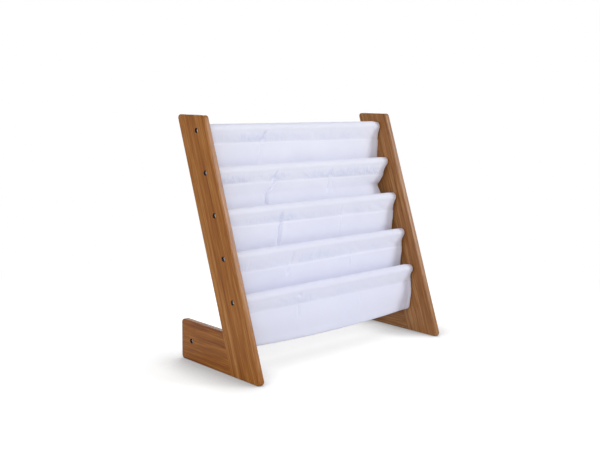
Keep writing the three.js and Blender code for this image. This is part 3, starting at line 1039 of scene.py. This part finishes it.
def clothPoints(stations, places):
    reach = sling["halfWidth"]
    drops = [pathPoint(station, 0)[0].z - railAxes[f"rail_{panelOf(station)}"].z for station in stations]
    shifts = {side: creaseCentres(side, stations, drops) for side in ("left", "right")}
    flat, base = [], []
    for r, station in enumerate(stations):
        along = [x + sum((shifts[side][r] - columns[side]) * fall(columns["follow"], abs(x - columns[side]))
                         for side in shifts) for x, _ in places]
        flat.append(along)
        base.append([pathPoint(station, max(-reach, min(reach, x))) for x in along])
    points = []
    last = len(stations) - 1
    for r, station in enumerate(stations):
        line = []
        for c, (_, fold) in enumerate(places):
            x, (point, inward) = flat[r][c], base[r][c]
            along = base[min(r + 1, last)][c][0] - base[max(r - 1, 0)][c][0]
            outward = Vector((0, along.z, -along.y)).normalized()
            drop = point.z - railAxes[f"rail_{panelOf(station)}"].z
            push = relief(station, x, drop) - fold * sling["hemFold"]
            pulled = x - math.copysign(inward * min(abs(x) / reach, 1) ** sling["inwardPower"], x)
            place = point + outward * push
            if station[0] in ("climb", "over", "slope"):
                place = offTheRail(place, railAxes[f"rail_{station[1]}"])
            line.append(Vector((pulled, place.y, place.z)))
        points.append(line)
    return points, flat


def buildSling():
    stations, places = stationList(), columnPlaces()
    points, flat = clothPoints(stations, places)
    bm = bmesh.new()
    bmesh.ops.create_grid(bm, x_segments=len(places) - 1, y_segments=len(stations) - 1, size=1)
    middle = len(places) // 2
    run = [0.0]
    for before, after in zip(points, points[1:]):
        run.append(run[-1] + (after[middle] - before[middle]).length)
    uvLayer = bm.loops.layers.uv.new("cut")
    pucker = bm.verts.layers.float.new("pucker")
    gather = bm.verts.layers.float.new("gather")
    cell = {}
    for vert in bm.verts:
        c = round((vert.co.x + 1) / 2 * (len(places) - 1))
        r = round((vert.co.y + 1) / 2 * (len(stations) - 1))
        cell[vert] = (r, c)
        vert.co = points[r][c]
        vert[pucker] = puckerShare(stations[r])
        vert[gather] = gatherShare(stations[r], flat[r][c])
    for face in bm.faces:
        for loop in face.loops:
            r, c = cell[loop.vert]
            x, fold = flat[r][c], places[c][1]
            flatX = x if fold <= 0.5 else math.copysign(2 * sling["halfWidth"] - abs(x), x)
            loop[uvLayer].uv = (0.5 + flatX / weave["size"][0], run[r] / weave["size"][1])
    bmesh.ops.recalc_face_normals(bm, faces=bm.faces)
    body = scratchObject("strip", bm)
    thick = body.modifiers.new("thickness", "SOLIDIFY")
    thick.thickness = sling["thickness"]
    thick.offset = 0
    mesh = finishedMesh(body, "sling_strip")
    dropObjects(body)
    obj = newPiece("sling_strip", mesh, [whiteCloth])
    evenNormals(mesh, sling["sharpAngle"])
    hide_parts(*[f"sling_sleeve_{n}" for n in railNumbers],
                *[f"sling_pocket_{n}" for n in railNumbers[:-1]])
    return obj


slingStrip = buildSling()
print("sling built, triangles:", sum(len(p.vertices) - 2 for p in slingStrip.data.polygons))

# Stitches along each sewn band

stitch = {
    "length": 0.0026,
    "pitch": 0.0036,
    "width": 0.00045,
    "lift": 0.0001,
    "endMargin": 0.006,
    "lookFrom": 0.06,  # in front of the rail
}


def buildStitches():
    strip = bmesh.new()
    strip.from_mesh(slingStrip.data)
    tree = BVHTree.FromBMesh(strip)
    strip.free()
    for number in railNumbers:
        axis = railAxes[f"rail_{number}"]
        bm = bmesh.new()
        reach = sling["halfWidth"] - stitch["endMargin"]
        count = int(2 * reach / stitch["pitch"])
        for i in range(count + 1):
            x = -reach + i * stitch["pitch"]
            height = axis.z - sling["seamDrop"] + seamShift(number, x / sling["halfWidth"])
            start = Vector((x, axis.y - stitch["lookFrom"], height))
            hit, normal, *_ = tree.ray_cast(start, Vector((0, 1, 0)))
            if hit is None:
                continue
            place = Matrix.Translation(hit + normal * stitch["lift"]) @ Matrix.Diagonal(
                (stitch["length"] / 2, stitch["width"] / 2, stitch["width"] / 2, 1))
            bmesh.ops.create_uvsphere(bm, u_segments=6, v_segments=4, radius=1,
                                      matrix=place @ Matrix.Rotation(math.pi / 2, 4, "Y"))
        bmesh.ops.recalc_face_normals(bm, faces=bm.faces)
        mesh = meshOf(f"stitch_line_{number}", bm)
        obj = newPiece(f"stitch_line_{number}", mesh, [whiteThread])
        obj.data.shade_smooth()


buildStitches()
print("stitches sewn")

# Floor, light and backdrop

worldGlow = 0.13
# place, aim, width, height, watts
lamps = {
    "key": ((3.45, -3.45, 2.25), (0, 0, 0.35), 1.7, 2.2, 121),
    "fill": ((-2.5, -2.7, 1.25), (0, 0, 0.3), 2.4, 1.0, 46),
    "overhead": ((0.3, -0.3, 3.0), (0, 0, 0), 2.6, 2.6, 14),
    "side": ((-3.0, -0.3, 1.1), (0, 0, 0.3), 2.0, 1.8, 29),
    "rear": ((1.9, 2.3, 1.9), (0, 0, 0.2), 1.6, 1.0, 34),
}


def areaLight(name, place, aim, width, height, watts):
    data = bpy.data.lights.new(name, "AREA")
    data.shape = "ELLIPSE"
    data.size = width
    data.size_y = height
    data.energy = watts
    turn = (Vector(aim) - Vector(place)).to_track_quat("-Z", "Y").to_matrix().to_4x4()
    linkedObject(name, data).matrix_world = Matrix.Translation(place) @ turn


def seenRays(tree):
    path = node(tree, "ShaderNodeLightPath")
    either = mathNode(tree, "MAXIMUM", path.outputs["Is Camera Ray"], path.outputs["Is Glossy Ray"])
    return mathNode(tree, "MAXIMUM", either, path.outputs["Is Transmission Ray"])


def buildWorld():
    world = bpy.data.worlds.new("studio")
    bpy.context.scene.world = world
    world.use_nodes = True
    tree = world.node_tree
    background = tree.nodes["Background"]
    setInputs(background, {"Color": (1, 1, 1, 1)})
    strength = plus(tree, times(tree, seenRays(tree), 1 - worldGlow), worldGlow)
    tree.links.new(strength, background.inputs["Strength"])


floor = {
    "radius": 14,
    "steps": 96,
    "clouds": (3.0, 2.0),
    "cloudStops": (0.3, 0.7),
    "tones": (232, 234),
    "surface": {"Roughness": 0.9, "Specular IOR Level": 0.0},
    "glow": 0.79,
    "shown": 0.50,
    "contact": 0.85,  # shade close to what stands on it
    "contactReach": 0.10,
    "tail": 0.60,  # longer, softer shade outside the two side boards
    "tailReach": 0.40,
    "tailSpan": (0.27, 0.34),
    "fadeSpan": (0.60, 1.4),
}


def shadeNode(tree, distance, share):
    made = node(tree, "ShaderNodeAmbientOcclusion", samples=8)
    setInputs(made, {"Distance": distance})
    return times(tree, oneMinus(tree, made.outputs["AO"]), share)


def smoothRange(tree, value, span):
    made = node(tree, "ShaderNodeMapRange", interpolation_type="SMOOTHSTEP")
    setInputs(made, {"From Min": span[0], "From Max": span[1]})
    tree.links.new(value, made.inputs["Value"])
    return made.outputs["Result"]


def joinShaders(tree, kind, *values):
    made = node(tree, kind)
    for value, socket in zip(values, made.inputs):
        tree.links.new(value, socket)
    return made.outputs[0]


def buildFloor():
    bm = bmesh.new()
    bmesh.ops.create_circle(bm, cap_ends=True, segments=floor["steps"], radius=floor["radius"])
    material, tree, shader = newMaterial("paleFloor")
    place = objectPlace(tree)
    clouds = noiseNode(tree, place, *floor["clouds"])
    colour = ramp(tree, clouds, floor["cloudStops"], greys(floor["tones"]))
    tree.links.new(colour, shader.inputs["Base Color"])
    setInputs(shader, floor["surface"])
    # seen directly or in a reflection it is nearly white, darker where the shelf stands on it
    sideways = mathNode(tree, "ABSOLUTE", splitPlace(tree, place)["X"])
    outside = smoothRange(tree, sideways, floor["tailSpan"])
    tail = times(tree, shadeNode(tree, floor["tailReach"], floor["tail"]), outside)
    contact = shadeNode(tree, floor["contactReach"], floor["contact"])
    openness = times(tree, oneMinus(tree, contact), oneMinus(tree, tail))
    shown = joinShaders(tree, "ShaderNodeBsdfDiffuse", times(tree, openness, floor["shown"]))
    glow = node(tree, "ShaderNodeEmission")
    tree.links.new(times(tree, openness, floor["glow"]), glow.inputs["Strength"])
    bright = joinShaders(tree, "ShaderNodeAddShader", shown, glow.outputs[0])
    seen = seenRays(tree)
    look = joinShaders(tree, "ShaderNodeMixShader", seen, shader.outputs[0], bright)
    # away from the shelf the floor turns into the white backdrop
    away = node(tree, "ShaderNodeVectorMath", operation="LENGTH")
    tree.links.new(place, away.inputs[0])
    faded = times(tree, seen, smoothRange(tree, away.outputs["Value"], floor["fadeSpan"]))
    white = node(tree, "ShaderNodeEmission").outputs[0]
    blend = joinShaders(tree, "ShaderNodeMixShader", faded, look, white)
    tree.links.new(blend, tree.nodes["Material Output"].inputs["Surface"])
    obj = linkedObject("floor", meshOf("floor", bm))
    obj.data.materials.append(material)


for name, lamp in lamps.items():
    areaLight(name, *lamp)
buildWorld()
buildFloor()
print("stage lit")
